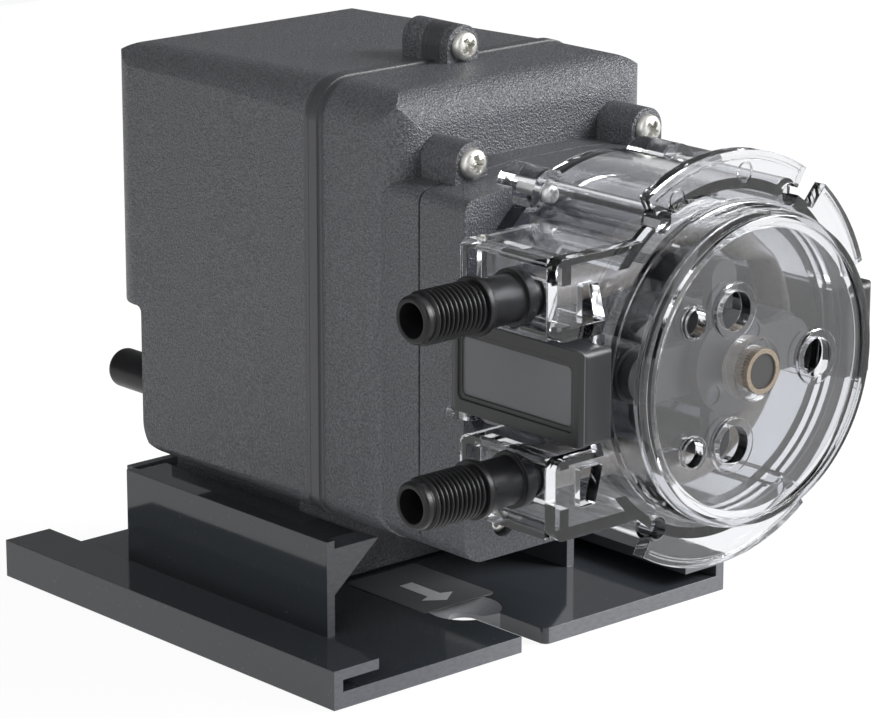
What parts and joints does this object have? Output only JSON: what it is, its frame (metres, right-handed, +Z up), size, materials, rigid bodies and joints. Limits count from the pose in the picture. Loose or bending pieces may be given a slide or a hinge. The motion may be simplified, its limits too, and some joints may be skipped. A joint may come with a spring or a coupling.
{
  "type": "peristaltic chemical feed pump",
  "caption": "Peristaltic chemical feed pump: black motor and gear case, clear round pump head with threaded tube fittings, on a dovetail wall bracket.",
  "frame": {"origin": "middle of the mounting bracket's flat underside", "axes": "+Z up, away from the bracket's mounting face; the pump head faces -Y, which points down when the bracket is on a wall; the tube fittings point to -X"},
  "size_m": [0.1715, 0.2387, 0.1759],
  "materials": {
    "bracket_pvc": "satin",
    "label_film": "gloss",
    "case_plastic": "matte",
    "black_fitting_plastic": "gloss",
    "latch_plastic": "satin",
    "clear_plastic": "gloss",
    "bushing_plastic": "satin",
    "roller_plastic": "satin",
    "tube_rubber": "matte",
    "seal_rubber": "matte",
    "screw_steel": "satin",
    "plate_steel": "satin",
    "shaft_steel": "gloss",
    "lamination_steel": "matte",
    "coil_copper": "satin",
    "gear_phenolic": "satin",
    "bronze": "satin"
  },
  "bodies": {
    "bracket": {"mounting_bracket": "bracket_pvc", "bracket_label": "label_film"},
    "pump": {"dovetail_foot": "case_plastic", "foot_screws": "screw_steel", "motor_housing": "case_plastic", "seam_gasket": "seal_rubber", "gear_case": "case_plastic", "cover_gasket": "seal_rubber", "gear_case_cover": "case_plastic", "case_screws": "screw_steel", "cord_gland": "black_fitting_plastic", "gland_nut": "black_fitting_plastic", "motor_plate": "plate_steel", "plate_screws": "screw_steel", "motor_stator": "lamination_steel", "motor_coils": "coil_copper", "front_motor_bearing": "bronze", "rear_motor_bearing": "bronze", "motor_rear_bracket": "plate_steel", "motor_posts": "screw_steel", "first_gear_post": "shaft_steel", "second_gear_post": "shaft_steel", "gear_clips": "screw_steel", "output_rear_bush": "bronze", "output_front_bearing": "bronze", "shaft_seal": "seal_rubber", "tube_housing": "clear_plastic", "tube_housing_screws": "screw_steel", "tube_housing_cover": "clear_plastic", "cover_bushing": "bushing_plastic", "pump_tube": "tube_rubber", "upper_tube_fitting": "black_fitting_plastic", "lower_tube_fitting": "black_fitting_plastic", "latch_pins": "shaft_steel"},
    "rotor": {"motor_rotor": "lamination_steel", "motor_shaft": "shaft_steel", "motor_pinion": "shaft_steel", "cooling_fan": "case_plastic"},
    "first_gear_cluster": {"first_gear": "gear_phenolic", "first_pinion": "shaft_steel"},
    "second_gear_cluster": {"second_gear": "plate_steel", "second_pinion": "shaft_steel"},
    "roller_assembly": {"output_gear": "plate_steel", "output_shaft": "shaft_steel", "rear_roller_carrier": "roller_plastic", "front_roller_carrier": "roller_plastic", "carrier_screws": "screw_steel", "roller_pins": "shaft_steel"},
    "right_roller": {"main_roller_right": "roller_plastic"},
    "left_roller": {"main_roller_left": "roller_plastic"},
    "upper_guide": {"guide_roller_upper": "roller_plastic"},
    "lower_guide": {"guide_roller_lower": "roller_plastic"},
    "left_latch": {"latch_left": "latch_plastic"},
    "right_latch": {"latch_right": "latch_plastic"}
  },
  "joints": [
    {"name": "pump_slide", "type": "slide", "parent": "bracket", "child": "pump", "axis": [0, 1, 0], "range_m": [0, 0.1]},
    {"name": "rotor_spin", "type": "hinge", "parent": "pump", "child": "rotor", "pos_m": [0, 0, 0.118], "axis": [0, 1, 0], "continuous": true},
    {"name": "first_gear_spin", "type": "hinge", "parent": "pump", "child": "first_gear_cluster", "pos_m": [-0.02148, 0, 0.1304], "axis": [0, 1, 0], "continuous": true},
    {"name": "second_gear_spin", "type": "hinge", "parent": "pump", "child": "second_gear_cluster", "pos_m": [0.00552, 0, 0.1302], "axis": [0, 1, 0], "continuous": true},
    {"name": "roller_assembly_spin", "type": "hinge", "parent": "pump", "child": "roller_assembly", "pos_m": [0, 0, 0.1002], "axis": [0, 1, 0], "continuous": true},
    {"name": "right_roller_spin", "type": "hinge", "parent": "roller_assembly", "child": "right_roller", "pos_m": [0.0264, 0, 0.1002], "axis": [0, 1, 0], "continuous": true},
    {"name": "left_roller_spin", "type": "hinge", "parent": "roller_assembly", "child": "left_roller", "pos_m": [-0.0264, 0, 0.1002], "axis": [0, 1, 0], "continuous": true},
    {"name": "upper_guide_spin", "type": "hinge", "parent": "roller_assembly", "child": "upper_guide", "pos_m": [0, 0, 0.1232], "axis": [0, 1, 0], "continuous": true},
    {"name": "lower_guide_spin", "type": "hinge", "parent": "roller_assembly", "child": "lower_guide", "pos_m": [0, 0, 0.0772], "axis": [0, 1, 0], "continuous": true},
    {"name": "left_latch_swing", "type": "hinge", "parent": "pump", "child": "left_latch", "pos_m": [-0.05075, -0.10225, 0.1002], "axis": [0, 0, -1], "range_deg": [0, 100]},
    {"name": "right_latch_swing", "type": "hinge", "parent": "pump", "child": "right_latch", "pos_m": [0.05075, -0.10225, 0.1002], "axis": [0, 0, 1], "range_deg": [0, 100]}
  ],
  "couplings": [
    {"joint": "first_gear_spin", "follows": "rotor_spin", "ratio": -0.24},
    {"joint": "second_gear_spin", "follows": "rotor_spin", "ratio": 0.06},
    {"joint": "roller_assembly_spin", "follows": "rotor_spin", "ratio": -0.014694},
    {"joint": "right_roller_spin", "follows": "rotor_spin", "ratio": 0.063551},
    {"joint": "left_roller_spin", "follows": "rotor_spin", "ratio": 0.063551},
    {"joint": "upper_guide_spin", "follows": "rotor_spin", "ratio": 0.082286},
    {"joint": "lower_guide_spin", "follows": "rotor_spin", "ratio": 0.082286}
  ]
}
